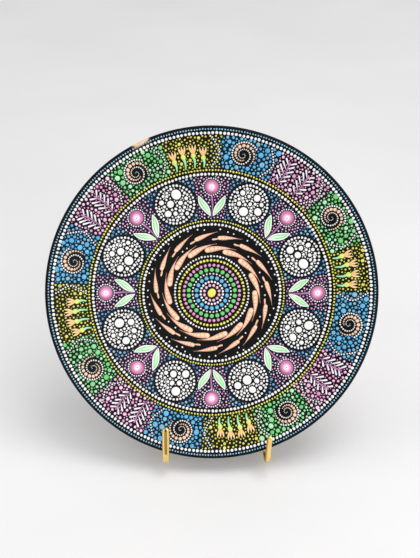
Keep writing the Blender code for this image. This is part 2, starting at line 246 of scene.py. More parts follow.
# ------------------------------------------------------------------ dots
class Dots:
    def __init__(self):
        self.rows = []

    def add(self, x, y, r, colour, lift=0.0, gap=0.35, tall=1.0):
        if math.hypot(x - CX, y - CY) > 165.6 - 0.3 * r:
            return
        self.rows.append((x, y, r, *srgb(colour), lift, tall))
        mark(x, y, r + gap)

    def make(self, store_of):
        rows = np.array(self.rows)
        for lo_r, hi_r, seg, rings in ((0, 1.15, 8, 1), (1.15, 2.4, 12, 2), (2.4, 5, 20, 3), (5, 99, 32, 4)):
            part = rows[(rows[:, 2] >= lo_r) & (rows[:, 2] < hi_r)]
            if not len(part):
                continue
            n = len(part)
            r = part[:, 2] * UNIT
            # height of a dome of thick paint: tall for small dots, flatter for large ones
            h = np.minimum(0.42 * r, 0.00022 + 0.10 * r) * part[:, 7]
            phase = rng.uniform(0, 2 * math.pi, n)
            squash = rng.uniform(0.95, 1.05, n)
            turn = rng.uniform(0, math.pi, n)
            c = to_plate(part[:, :2])
            levels = [(1.0, -0.00006 / 1.0)]
            prof = {
                1: [(0.80, 0.70)],
                2: [(0.93, 0.50), (0.62, 0.88)],
                3: [(0.96, 0.42), (0.84, 0.76), (0.52, 0.95)],
                4: [(0.975, 0.38), (0.92, 0.68), (0.78, 0.88), (0.45, 0.98)],
            }[rings]
            ang = np.arange(seg) * 2 * math.pi / seg
            verts = []
            wobble = 1 + 0.025 * np.sin(2 * ang[None, :] + rng.uniform(0, 6, n)[:, None]) * (
                rings > 1
            )
            for rho, height in [(1.0, None)] + prof:
                a = ang[None, :] + phase[:, None]
                ox, oy = np.cos(a) * squash[:, None], np.sin(a) / squash[:, None]
                ct, st = np.cos(turn)[:, None], np.sin(turn)[:, None]
                px = (ox * ct - oy * st) * rho * r[:, None] * wobble
                py = (ox * st + oy * ct) * rho * r[:, None] * wobble
                q = c[:, None, :] + np.stack([px, py], -1)
                lift = (
                    part[:, 6][:, None] - 0.00008
                    if height is None
                    else part[:, 6][:, None] + h[:, None] * height
                )
                verts.append(surface(q, lift * np.ones((n, seg))))
            top = surface(c[:, None, :], (part[:, 6] + h)[:, None])
            allv = np.concatenate(verts + [top], 1)
            per = allv.shape[1]
            base = (np.arange(n) * per)[:, None]
            k = np.arange(seg)
            m = (k + 1) % seg
            faces4 = []
            for lv in range(rings):
                quad = np.stack([lv * seg + k, lv * seg + m, (lv + 1) * seg + m, (lv + 1) * seg + k], 1)
                faces4.append((base[:, :, None] + quad[None]).reshape(-1, 4))
            tri = np.stack([rings * seg + k, rings * seg + m, np.full(seg, (rings + 1) * seg)], 1)
            tris = (base[:, :, None] + tri[None]).reshape(-1, 3)
            bottom = (base + k[::-1][None]).reshape(-1, seg)
            col = np.repeat(part[:, 3:6], per, 0)
            tone = np.repeat(rng.uniform(0.93, 1.0, n), per)[:, None]
            store_of.add(allv.reshape(-1, 3), faces4 + [tris, bottom], col * tone)


def spline(points, step=1.0, values=None):
    """A smooth line through points, with values carried along it."""
    p = np.asarray(points, float)
    if len(p) == 2:
        n = max(2, int(np.linalg.norm(p[1] - p[0]) / step) + 1)
        t = np.linspace(0, 1, n)
        out = p[0] + (p[1] - p[0]) * t[:, None]
        return (out, np.interp(t, [0, 1], values)) if values is not None else out
    ext = np.concatenate([[2 * p[0] - p[1]], p, [2 * p[-1] - p[-2]]])
    out, tv = [], []
    for i in range(len(p) - 1):
        a, b, c, d = ext[i : i + 4]
        n = max(2, int(np.linalg.norm(c - b) / step) + 1)
        t = np.linspace(0, 1, n, endpoint=False)[:, None]
        out.append(
            0.5
            * (
                2 * b
                + (c - a) * t
                + (2 * a - 5 * b + 4 * c - d) * t**2
                + (3 * b - a - 3 * c + d) * t**3
            )
        )
        tv.append(i + t[:, 0])
    out.append(p[-1:])
    tv.append([len(p) - 1])
    out, tv = np.concatenate(out), np.concatenate(tv)
    if values is None:
        return out
    vals = np.interp(tv, np.linspace(0, len(p) - 1, len(values)), values)
    return out, vals


def arc_lengths(p):
    return np.concatenate([[0], np.cumsum(np.linalg.norm(np.diff(p, axis=0), axis=1))])


def dotted(dots, points, r, spacing, colour, gap=0.3, jitter=0.08, r_end=None, space_end=None, lift=0.0):
    """Dots along a smooth line, their size and spacing changing from one end to the other."""
    line = spline(points, 0.5)
    s = arc_lengths(line)
    total = s[-1]
    at = 0.0
    while at <= total:
        t = at / total
        rr = r if r_end is None else r + (r_end - r) * t
        sp = spacing if space_end is None else spacing + (space_end - spacing) * t
        x, y = np.interp(at, s, line[:, 0]), np.interp(at, s, line[:, 1])
        dots.add(
            x + rng.normal(0, jitter),
            y + rng.normal(0, jitter),
            rr * rng.uniform(0.93, 1.07),
            colour,
            gap=gap,
            lift=lift,
        )
        at += sp * rng.uniform(0.96, 1.04)


def ring_dots(dots, x, y, radius, r, spacing, colour, skip=(), start=0.0, end=360.0, gap=0.25):
    n = max(3, int(round(2 * math.pi * radius * (end - start) / 360 / spacing)))
    for k in range(n):
        a = math.radians(start + (end - start) * k / n)
        px, py = x + radius * math.cos(a), y + radius * math.sin(a)
        if any(math.hypot(px - sx, py - sy) < sr + r * 0.6 for sx, sy, sr in skip):
            continue
        dots.add(
            px + rng.normal(0, 0.10), py + rng.normal(0, 0.10), r * rng.uniform(0.9, 1.1), colour, gap=gap
        )


def fill(dots, mask, sizes, colours, gap=0.3, share=1.0, weights=None):
    """Packs dots into the free part of a mask, largest first."""
    placed = 0
    for r in sizes:
        rr, keep = (r, share) if np.isscalar(r) else r
        free = mask & ~taken
        js, is_ = np.nonzero(free)
        order = rng.permutation(len(js))
        if keep < 1:
            order = order[: int(len(order) * keep)]
        for o in order:
            i, j = is_[o], js[o]
            if taken[j, i]:
                continue
            if is_free(i, j, rr + 0.05):
                col = colours[rng.choice(len(colours), p=weights)]
                dots.add(
                    X0 + (i + 0.5) / CELLS,
                    Y0 + (j + 0.5) / CELLS,
                    rr * rng.uniform(0.92, 1.06),
                    col,
                    gap=gap,
                )
                placed += 1
    return placed


# ------------------------------------------------------------------ strokes and patches
CROSS = np.array([-1.0, -0.86, -0.5, 0.0, 0.5, 0.86, 1.0])
CROSS_H = np.array([0.0, 0.60, 0.92, 1.0, 0.92, 0.60, 0.0])


def stroke(store, points, widths, colour, tail=None, height=0.00022, lift=0.0, round_head=True, gap=0.4,
           step=0.9, marks=True):
    """A brush stroke: half widths along a smooth line, thick paint in the middle."""
    line, w = spline(points, step, widths)
    s = arc_lengths(line)
    total = s[-1]
    if round_head and w[0] > 0.4:
        # a round head: extra stations that follow a half circle
        d = (line[0] - line[1]) / max(np.linalg.norm(line[0] - line[1]), 1e-9)
        t = np.linspace(1, 0, 6)[:-1]
        head = line[0] + d * (w[0] * np.sin(t * math.pi / 2))[:, None] * 0.95
        line = np.concatenate([head, line])
        w = np.concatenate([w[0] * np.maximum(np.cos(t * math.pi / 2), 0.12), w])
    w = np.maximum(w, 0.10)
    n = len(line)
    tangent = np.gradient(line, axis=0)
    tangent /= np.maximum(np.linalg.norm(tangent, axis=1, keepdims=True), 1e-9)
    side = np.stack([-tangent[:, 1], tangent[:, 0]], 1)
    pts = line[:, None, :] + side[:, None, :] * (w[:, None] * CROSS[None])[..., None]
    # stay on the face
    off = pts - [CX, CY]
    dist = np.linalg.norm(off, axis=-1, keepdims=True)
    pts = np.where(dist > 165.8, [CX, CY] + off * 165.8 / np.maximum(dist, 1e-9), pts)
    q = to_plate(pts)
    hh = np.minimum(height, 0.5 * w * UNIT)[:, None] * CROSS_H[None]
    ripple = 1 + 0.10 * np.sin(np.arange(n) * 1.7 + rng.uniform(0, 6))[:, None]
    lifts = lift + hh * ripple - np.where(CROSS_H == 0, 0.00007, 0)[None]
    v = surface(q, lifts)
    m = len(CROSS)
    idx = np.arange(n * m).reshape(n, m)
    quads = np.stack([idx[:-1, :-1], idx[1:, :-1], idx[1:, 1:], idx[:-1, 1:]], -1).reshape(-1, 4)
    under = np.stack([idx[:-1, -1], idx[1:, -1], idx[1:, 0], idx[:-1, 0]], -1)
    ends = np.stack([idx[0], idx[-1][::-1]])
    t = np.linspace(0, 1, n)[:, None]
    c0, c1 = srgb(colour), srgb(tail if tail is not None else colour)
    col = c0 + (c1 - c0) * t**1.3
    streak = 1 + 0.06 * rng.normal(size=(1, m))
    col = np.clip(col[:, None, :] * streak[..., None], 0, 1)
    store.add(v.reshape(-1, 3), [quads, under, ends], col.reshape(-1, 3))
    if marks:
        for (x, y), ww in zip(line, w):
            mark(x, y, ww + gap)
    return line, w


def patch(store, outline, colour, height=0.00012, spacing=2.2, smooth=True, gap=0.2, marks=True, lift=0.0,
          shade=0.0):
    """A flat painted field inside a closed outline."""
    o = np.asarray(outline, float)
    if smooth:
        o = spline(np.concatenate([o, o[:1]]), 1.2)[:-1]
    mask = inside(o)
    xs = np.arange(o[:, 0].min(), o[:, 0].max(), spacing)
    ys = np.arange(o[:, 1].min(), o[:, 1].max(), spacing)
    pts = []
    for k, y in enumerate(ys):
        for x in xs + (spacing / 2 if k % 2 else 0):
            i, j = cell(x, y)
            if 0 <= i < SIDE * CELLS and 0 <= j < SIDE * CELLS and mask[j, i]:
                if np.min(np.hypot(o[:, 0] - x, o[:, 1] - y)) > 0.9:
                    pts.append((x, y))
    # a shoulder just inside the edge keeps the paint's edge crisp
    centre = o.mean(0)
    nrm = np.roll(o, -1, 0) - np.roll(o, 1, 0)
    nrm /= np.maximum(np.linalg.norm(nrm, axis=1, keepdims=True), 1e-9)
    perp = np.stack([-nrm[:, 1], nrm[:, 0]], 1)
    area = 0.5 * np.sum(o[:, 0] * np.roll(o[:, 1], -1) - np.roll(o[:, 0], -1) * o[:, 1])
    inner = o + perp * (0.35 if area > 0 else -0.35)
    verts = [Vector(p) for p in o] + [Vector(p) for p in inner] + [Vector(p) for p in pts]
    n = len(o)
    edges = [(i, (i + 1) % n) for i in range(n)]
    v2, _, f2, ov, _, _ = delaunay_2d_cdt(verts, edges, [], 1, 1e-6)
    v2 = np.array([tuple(v) for v in v2])
    on_edge = np.zeros(len(v2), bool)
    for k, src in enumerate(ov):
        on_edge[k] = any(s < n for s in src)
    q = to_plate(v2)
    lifts = np.where(on_edge, lift - 0.00006, lift + height)
    v = surface(q, lifts)
    tris = np.array([f for f in f2 if len(f) == 3])
    a = v2[tris[:, 0]]
    b = v2[tris[:, 1]]
    c = v2[tris[:, 2]]
    sgn = (b[:, 0] - a[:, 0]) * (c[:, 1] - a[:, 1]) - (b[:, 1] - a[:, 1]) * (c[:, 0] - a[:, 0])
    tris = np.where(sgn[:, None] > 0, tris[:, ::-1], tris)
    under = surface(q, np.full(len(q), lift - 0.00012))
    allv = np.concatenate([v, under])
    m = len(v)
    faces = [tris, tris[:, ::-1] + m]
    # sides between top and underside along the outline
    pairs = {}
    for t in tris:
        for e0, e1 in ((t[0], t[1]), (t[1], t[2]), (t[2], t[0])):
            if (e1, e0) in pairs:
                del pairs[(e1, e0)]
            else:
                pairs[(e0, e1)] = True
    rim = np.array([(e1, e0, e0 + m, e1 + m) for e0, e1 in pairs])
    faces.append(rim)
    tone = 1 + shade * np.sin(v2[:, 0] * 0.9 + 0.4 * v2[:, 1])
    col = np.clip(srgb(colour)[None] * tone[:, None], 0, 1)
    store.add(allv, faces, np.concatenate([col, col]))
    if marks:
        taken[mask] = True
    return mask



# ------------------------------------------------------------------ the drawing
G = {n: Store() for n in ("dots_white", "dots_blue", "dots_green", "dots_yellow", "dots_pink", "dots_peach",
                          "strokes_white", "strokes_peach", "strokes_green", "strokes_mauve", "strokes_bud",
                          "leaves")}
W, B, GR, Y, P, PE = (Dots() for _ in range(6))
grounds = []  # (mask, tint): what colour the dark ground has under each part
grounds_top = []  # laid over the others


def scatter(dots, mask, r, count, colours, gap=0.5, tries=500):
    """A few dots of one size at free places."""
    js, is_ = np.nonzero(mask & ~taken)
    if not len(js):
        return
    left = count
    for o in rng.integers(0, len(js), tries):
        i, j = is_[o], js[o]
        rr = r * rng.uniform(0.94, 1.06)
        if is_free(i, j, rr + gap):
            dots.add(X0 + (i + 0.5) / CELLS, Y0 + (j + 0.5) / CELLS, rr,
                     colours[rng.integers(len(colours))], gap=gap)
            left -= 1
            if left <= 0:
                return


def dot_disc(x, y, R):
    """A disc packed with white dots inside one or two rings of dots."""
    ring_dots(W, x, y, R - 0.6, 1.25, 3.5, WHITE)
    if R > 24:
        ring_dots(W, x, y, R - 4.2, 1.1, 3.05, WHITE)
    f = (R / 42.0) ** 2
    for r, n in ((6.9, 1.4), (6.0, 3.6), (5.6, 2.8), (4.8, 4.5), (3.7, 6), (3.4, 5), (2.7, 6), (2.3, 8),
                 (1.9, 11)):
        if r > R * (0.205 if R > 30 else 0.26):
            continue
        m = circle_mask(x, y, R - (5.4 if R > 24 else 2.4) - r)
        scatter(W, m, r, int(round(n * f)), [WHITE], gap=0.85 if r > 3 else 0.65, tries=900)
    m = circle_mask(x, y, R - 3.2)
    fill(W, m, [(1.5, 0.05), (1.25, 0.2), (0.98, 0.7), 0.68], [WHITE], gap=0.33)
    taken[circle_mask(x, y, R + 2.4)] = True
    grounds_top.append((circle_mask(x, y, R + 1.5), (6, 6, 8)))


# A plain pattern made by rule: everything sits on rings and spokes round the plate's middle.
def at(r, a):
    a = math.radians(a)
    return (CX + r * math.cos(a), CY + r * math.sin(a))


def band(r0, r1):
    return circle_mask(CX, CY, r1) & ~circle_mask(CX, CY, r0)


SPOKE = np.degrees(np.arctan2(GY - CY, GX - CX)) % 360


def sector(r0, r1, a0, a1):
    return band(r0, r1) & (((SPOKE - a0) % 360) < (a1 - a0))


def sweep(a0, r0, length, w, drift=4.0, belly=0.0, head=PEACH, tail=PEACH_TAIL):
    """A tapered stroke that runs round the middle and drifts outwards."""
    t = np.linspace(0, 1, 7)
    a = np.radians(a0 + math.degrees(length / r0) * t)
    r = r0 + drift * t**1.6 + belly * np.sin(math.pi * t)
    pts = np.stack([CX + r * np.cos(a), CY + r * np.sin(a)], 1)
    stroke(G["strokes_peach"], pts, [w * 0.9, w, w * 0.86, w * 0.6, w * 0.34, 0.2, 0.12], head, tail, height=0.00042)
    return pts


def beads(pts, w):
    s_ = spline(pts, 0.25)
    length = arc_lengths(s_)
    d = 0.2
    while d < 0.66 * length[-1]:
        r = max(w * 0.74 * (1 - 0.95 * d / length[-1]), 0.42)
        PE.add(np.interp(d, length, s_[:, 0]), np.interp(d, length, s_[:, 1]), r, (252, 218, 184), lift=0.00034,
               tall=0.45)
        d += 2 * r + 0.25


def spiral(x, y, a0, a1, r0, r1, size, colour, dots, squash=1.0, spacing=3.2, n=24):
    t = np.linspace(0, 1, n)
    a = np.radians(a0 + (a1 - a0) * t)
    r = r0 + (r1 - r0) * t ** 0.9
    path = spline(np.stack([x + r * np.cos(a), y + r * np.sin(a) * squash], 1), 0.4)
    s = arc_lengths(path)
    at = 0.0
    while at < s[-1]:
        k = at / s[-1]
        rr = float(np.interp(k, np.linspace(0, 1, len(size)), size))
        dots.add(np.interp(at, s, path[:, 0]), np.interp(at, s, path[:, 1]), rr, colour, gap=0.25)
        at += max(2.0 * rr + 0.5, 1.5)


def leaf(mid, w, peak=0.45, colour=LEAF, vein=True, twist=0.0):
    m = spline(mid, 1.4)
    s = arc_lengths(m)
    t = s / s[-1]
    u = np.where(t < peak, 0.5 * t / peak, 0.5 + 0.5 * (t - peak) / (1 - peak))
    half = w * np.sin(math.pi * u) ** 0.85
    tan = np.gradient(m, axis=0)
    tan /= np.linalg.norm(tan, axis=1, keepdims=True)
    side = np.stack([-tan[:, 1], tan[:, 0]], 1)
    left, right = m + side * half[:, None] * (1 + twist), m - side * half[:, None] * (1 - twist)
    ring = np.concatenate([left, right[-2:0:-1]])
    patch(G["leaves"], ring, colour, height=0.0002, smooth=False, shade=0.05)
    for e in (left, right):
        stroke(G["strokes_white"], e[::3] if len(e) > 8 else e, [0.35, 0.6, 0.7, 0.6, 0.35], WHITE,
               round_head=False, height=0.00016, lift=0.00012, gap=0.6)
    if vein:
        v = (m + side * (half * twist * 0.5)[:, None])[2 : int(len(m) * 0.92)]
        stroke(G["leaves"], v[::3], [0.3, 1.1, 0.95, 0.6, 0.2], (222, 246, 214), round_head=False, height=0.00012,
               lift=0.0002, marks=False)
        if w > 3.7:
            for o in (-0.62, -0.3, 0.45):
                v = (m + side * (half * o)[:, None])[3 : int(len(m) * 0.9)]
                stroke(G["leaves"], v[::3], [0.2, 0.42, 0.38, 0.15], (186, 236, 182) if o > 0 else (128, 204, 130),
                       round_head=False, height=0.00008, lift=0.00019, marks=False)
    return m


def frond(x, y, size, turn):
    spiral(x, y, 70 + turn, 395 + turn, 9.5 * size, 21 * size, [0.6, 1.0, 1.5, 1.9, 1.7, 1.3, 1.0, 0.7],
           (246, 204, 172), PE)
    spiral(x, y, -35 + turn, -300 + turn, 25.5 * size, 15.5 * size, [1.0, 1.0, 0.9, 0.9], WHITE, W, 1.0)
    spiral(x, y, 55 + turn, -470 + turn, 14.6 * size, 1.2 * size, [0.95, 0.85, 0.7, 0.55, 0.4], WHITE, W)
    taken[circle_mask(x, y, 19.5 * size)] = True
    grounds_top.append((circle_mask(x, y, 19 * size), (8, 7, 8)))


def flower(x, y, r):
    ring_dots(W, x, y, r + 1.2, 0.85, 2.3, WHITE)
    P.add(x, y, r, (176, 88, 138), gap=0.2, tall=0.8)
    P.add(x + rng.normal(0, 0.2), y + rng.normal(0, 0.2), r * 0.80, (208, 124, 174), lift=0.00050, tall=0.25)
    P.add(x + rng.normal(0, 0.3), y + rng.normal(0, 0.3), r * 0.60, (232, 170, 206), lift=0.00062, tall=0.25)
    P.add(x, y, r * 0.42, (246, 214, 232), lift=0.00074, tall=0.2)
    W.add(x + rng.normal(0, 0.15), y, r * 0.27, WHITE, lift=0.00084, tall=0.3)
    P.add(x, y, 0.6, (150, 120, 150), lift=0.00106)
    taken[circle_mask(x, y, r + 2.3)] = True


def fern(a, r0, r1, barb=7.0, spacing=4.2, w=0.45):
    """A mauve stem along a spoke, with white barbs that point outwards on both sides."""
    d = r0 + 3.0
    while d < r1 - 1.0:
        x, y = at(d, a)
        for side_ in (-1, 1):
            b = math.radians(a + side_ * (48 + rng.normal(0, 3)))
            L = barb * (0.72 + 0.4 * math.sin(math.pi * (d - r0) / (r1 - r0))) * rng.uniform(0.9, 1.08)
            tip = (x + L * math.cos(b), y + L * math.sin(b))
            middle = (x + 0.5 * L * math.cos(b), y + 0.5 * L * math.sin(b))
            stroke(G["strokes_white"], [tip, middle, (x, y)], [w * 1.35, w, 0.16], (240, 234, 240),
                   height=0.0002, step=1.8, gap=0.5)
        d += spacing * rng.uniform(0.95, 1.05)
    stroke(G["strokes_mauve"], [at(r0, a), at((r0 + r1) / 2, a + 0.6), at(r1, a)], [0.5, 0.85, 0.9], MAUVE,
           (190, 120, 176), height=0.00026, round_head=False)


def bud(a, r0, r1):
    """A green stalk along a spoke with a bud and long petals at its outer end."""
    x, y = at(r1, a)
    c, q = math.cos(math.radians(a)), math.sin(math.radians(a))

    def off(u, v):
        return (x + u * c - v * q, y + u * q + v * c)

    stroke(G["strokes_bud"], [at(r0, a), off((r0 - r1) / 2, 0.8), off(-2, 0)], [0.8, 1.1, 1.4], (116, 214, 128),
           PALE_GREEN, height=0.0003)
    GR.add(x, y, 2.6, (214, 234, 112))
    for v in (-1, 0, 1):
        stroke(G["strokes_bud"], [off(3.0, 0.9 * v), off(7.0, 2.6 * v), off(11.0, 3.2 * v)], [1.0, 1.15, 0.2],
               (238, 170, 110), (250, 226, 160), height=0.00026)



def field(mask, dots, sizes, colours, tint, big=(), gap=0.9):
    grounds.append((mask, tint))
    for r, n in big:
        scatter(dots, mask, r, n, colours, gap=0.5)
    fill(dots, mask, sizes, colours, gap=gap)


BLUES = [(92, 182, 228), (92, 182, 228), (78, 166, 214), (124, 182, 212)]
STEEL = [(112, 164, 196), (84, 136, 178), (146, 186, 208)]
PINKS = [PINK, ROSE, (250, 208, 234)]
GREENS = [GREEN, (132, 212, 142), PALE_GREEN]
YELLOWS = [YELLOW, (226, 218, 92), (212, 206, 84)]

# rings of dots in the middle, and the strokes round them
Y.add(CX, CY, 4.4, YELLOW, gap=0.4)
for dots, radius, r, count, colour in ((P, 7.6, 1.5, 12, PINK), (W, 11.2, 1.2, 22, WHITE), (B, 15.4, 2.1, 18, (92, 182, 228)),
                                       (W, 19.2, 1.0, 36, WHITE), (GR, 23.2, 2.2, 26, GREEN), (P, 27.8, 1.6, 40, ROSE)):
    for k in range(count):
        dots.add(*at(radius, 360 * (k + 0.5) / count), r, colour, gap=0.3)
taken[circle_mask(CX, CY, 30)] = True
grounds_top.append((circle_mask(CX, CY, 30.5), (6, 6, 8)))
ring_dots(Y, CX, CY, 32.6, 1.3, 3.5, YELLOW)
ring_dots(W, CX, CY, 36.8, 1.1, 3.1, WHITE)
strokes = []
for k in range(15):
    strokes.append((sweep(24 * k, 43.0, 27, 3.0, 6.5, 0.6, head=(236, 176, 140)), 3.0))
for k in range(15):
    strokes.append((sweep(24 * k + 14, 55.5, 21, 2.3, 6.0, 0.4, head=(236, 176, 140)), 2.3))
    sweep(24 * k + 7, 53.5, 11, 0.95, 3.5)
for pts, w in strokes:
    beads(pts, w)
scatter(W, band(40, 66), 0.9, 60, [WHITE], gap=1.6, tries=1500)
ring_dots(W, CX, CY, 68.5, 1.35, 3.6, WHITE)
ring_dots(Y, CX, CY, 72.2, 0.95, 2.7, YELLOW)

# eight discs, with a flower and two leaves in each space between them
for k in range(8):
    dot_disc(*at(95.5, 45 * k + 22.5), 19.5)
for k in range(8):
    a = 45 * k
    flower(*at(106, a), 7.4)
    for side_ in (-1, 1):
        leaf([at(77, a + side_), at(84, a + side_ * 3.6), at(91, a + side_ * 6.4), at(98, a + side_ * 7.8)], 2.9, 0.5)
    stroke(G["strokes_mauve"], [at(76, a), at(87, a + 0.5), at(97, a)], [0.5, 0.85, 0.95], MAUVE, (190, 120, 176),
           height=0.00026, round_head=False)
    field(sector(75, 115.5, a - 9, a + 9), P, [(1.0, 0.1), 0.75, 0.55], PINKS, (20, 5, 19), gap=0.9)
field(band(74.5, 116), B, [(1.3, 0.1), (1.0, 0.5), 0.75, 0.58], STEEL, (8, 24, 40), gap=0.9)
ring_dots(W, CX, CY, 118.6, 1.4, 3.7, WHITE)
ring_dots(Y, CX, CY, 122.6, 1.05, 3.0, YELLOW)

# outer ring: sixteen fields between curved dotted lines, each with one motif
for k in range(16):
    dotted(W, [at(126, 22.5 * k), at(141, 22.5 * k + 3.0), at(156, 22.5 * k)], 0.95, 2.8, WHITE)
for k in range(16):
    a = 22.5 * k + 11.25 + 1.5
    kind = k % 4
    if kind in (0, 2):
        frond(*at(141, a), 0.56, a + 90)
    elif kind == 1:
        for o in (-4.3, 4.3):
            fern(a + o, 126, 152, barb=8.0, spacing=4.8, w=0.75)
    else:
        for o in (-6.2, -2.1, 2.1, 6.2):
            bud(a + o, 126, 135 + 3.0 * (abs(o) < 3))
    inner = sector(124.6, 156.8, 22.5 * k, 22.5 * k + 26)
    if kind == 0:
        field(inner, B, [(1.5, 0.06), (1.2, 0.3), 0.95, 0.7], BLUES, (6, 26, 40), big=((2.6, 5), (2.1, 6)))
    elif kind == 1:
        field(inner, P, [(1.4, 0.05), (1.15, 0.3), 0.9, 0.65], PINKS, (24, 5, 22), big=((2.0, 4), (1.6, 5)), gap=1.0)
    elif kind == 2:
        field(inner, GR, [(1.4, 0.1), (1.15, 0.3), 0.9, 0.65], GREENS, (8, 24, 15), big=((2.6, 4), (2.1, 6)))
    else:
        field(inner, Y, [(1.1, 0.05), (0.85, 0.2), 0.6], YELLOWS, (20, 21, 8), big=((1.7, 4),), gap=1.1)
ring_dots(W, CX, CY, 159.6, 1.5, 3.9, WHITE)
ring_dots(B, CX, CY, 163.4, 0.9, 2.8, PALE_BLUE)

# ------------------------------------------------------------------ materials
def new_material(name):
    mat = bpy.data.materials.new(name)
    mat.use_nodes = True
    nt = mat.node_tree
    return mat, nt.nodes, nt.links, nt.nodes["Principled BSDF"]


def node(nodes, kind, **values):
    n = nodes.new(kind)
    for k, v in values.items():
        if k in n.inputs:
            n.inputs[k].default_value = v
        else:
            setattr(n, k, v)
    return n


def noise(nodes, links, coord, scale, detail=3.0, rough=0.5, stretch=None):
    n = node(nodes, "ShaderNodeTexNoise", Scale=scale, Detail=detail, Roughness=rough)
    if stretch:
        mp = nodes.new("ShaderNodeMapping")
        mp.inputs["Scale"].default_value = stretch
        links.new(coord, mp.inputs["Vector"])
        coord = mp.outputs["Vector"]
    links.new(coord, n.inputs["Vector"])
    return n.outputs["Fac"]


def spread(nodes, links, fac, lo, hi, a=0.3, b=0.7):
    m = node(nodes, "ShaderNodeMapRange")
    m.inputs["From Min"].default_value = a
    m.inputs["From Max"].default_value = b
    m.inputs["To Min"].default_value = lo
    m.inputs["To Max"].default_value = hi
    links.new(fac, m.inputs["Value"])
    return m.outputs["Result"]


def mix(nodes, links, fac, a, b, blend="MIX"):
    m = node(nodes, "ShaderNodeMix", data_type="RGBA", blend_type=blend)
    for k, v in ((0, fac), (6, a), (7, b)):
        if hasattr(v, "is_output"):
            links.new(v, m.inputs[k])
        else:
            m.inputs[k].default_value = v
    return m.outputs[2]


def bumps(nodes, links, bsdf, layers, strength=1.0):
    """Layers of (height output, distance in metres), each added on top of the last."""
    last = None
    for out, distance in layers:
        b = node(nodes, "ShaderNodeBump")
        b.inputs["Strength"].default_value = strength
        b.inputs["Distance"].default_value = distance
        links.new(out, b.inputs["Height"])
        if last is not None:
            links.new(last, b.inputs["Normal"])
        last = b.outputs["Normal"]
    links.new(last, bsdf.inputs["Normal"])


def paint(name, rough=0.42, tone=0.07, coat=0.25):
    """Thick acrylic dots and strokes under a thin varnish."""
    mat, nodes, links, bsdf = new_material(name)
    co = nodes.new("ShaderNodeTexCoord").outputs["Object"]
    at = node(nodes, "ShaderNodeAttribute", attribute_name="paint")
    n1 = noise(nodes, links, co, 900, 4, 0.6)
    n2 = noise(nodes, links, co, 60, 2)
    v = spread(nodes, links, n1, 1.0 - tone, 1.0, 0.35, 0.62)
    v2 = spread(nodes, links, n2, 0.95, 1.03)
    m = node(nodes, "ShaderNodeMath", operation="MULTIPLY")
    links.new(v, m.inputs[0])
    links.new(v2, m.inputs[1])
    sc = node(nodes, "ShaderNodeVectorMath", operation="SCALE")
    links.new(at.outputs["Color"], sc.inputs[0])
    links.new(m.outputs[0], sc.inputs["Scale"])
    links.new(sc.outputs[0], bsdf.inputs["Base Color"])
    links.new(spread(nodes, links, n1, rough - 0.08, rough + 0.1), bsdf.inputs["Roughness"])
    bsdf.inputs["Coat Weight"].default_value = coat
    bsdf.inputs["Coat Roughness"].default_value = 0.2
    bumps(nodes, links, bsdf, [(n1, 0.00004), (n2, 0.0001)], 0.6)
    return mat


paints = {"white": paint("paint_white"), "colour": paint("paint_colour", 0.45, 0.08, 0.08),
          "field": paint("paint_field", 0.5, 0.12, 0.0)}

glaze, nodes, links, bsdf = new_material("painted_ground")
co = nodes.new("ShaderNodeTexCoord").outputs["Object"]
at = node(nodes, "ShaderNodeAttribute", attribute_name="paint")
brush = noise(nodes, links, co, 240, 3, 0.5, (1.0, 0.25, 0.25))
grain = noise(nodes, links, co, 1400, 3, 0.6)
broad = noise(nodes, links, co, 22, 2)
tone_ = spread(nodes, links, brush, 0.82, 1.16)
sc = node(nodes, "ShaderNodeVectorMath", operation="SCALE")
links.new(at.outputs["Color"], sc.inputs[0])
links.new(tone_, sc.inputs["Scale"])
links.new(sc.outputs[0], bsdf.inputs["Base Color"])
# bare clay (bright ground) is rougher than the varnished paint
bw = node(nodes, "ShaderNodeSeparateColor")
links.new(at.outputs["Color"], bw.inputs[0])
bare = spread(nodes, links, bw.outputs[0], 0.0, 0.38, 0.12, 0.35)
rg = node(nodes, "ShaderNodeMath", operation="ADD")
links.new(bare, rg.inputs[0])
links.new(spread(nodes, links, broad, 0.36, 0.50), rg.inputs[1])
links.new(rg.outputs[0], bsdf.inputs["Roughness"])
bsdf.inputs["Specular IOR Level"].default_value = 0.10
bumps(nodes, links, bsdf, [(broad, 0.0004), (brush, 0.00006), (grain, 0.00003)], 0.7)


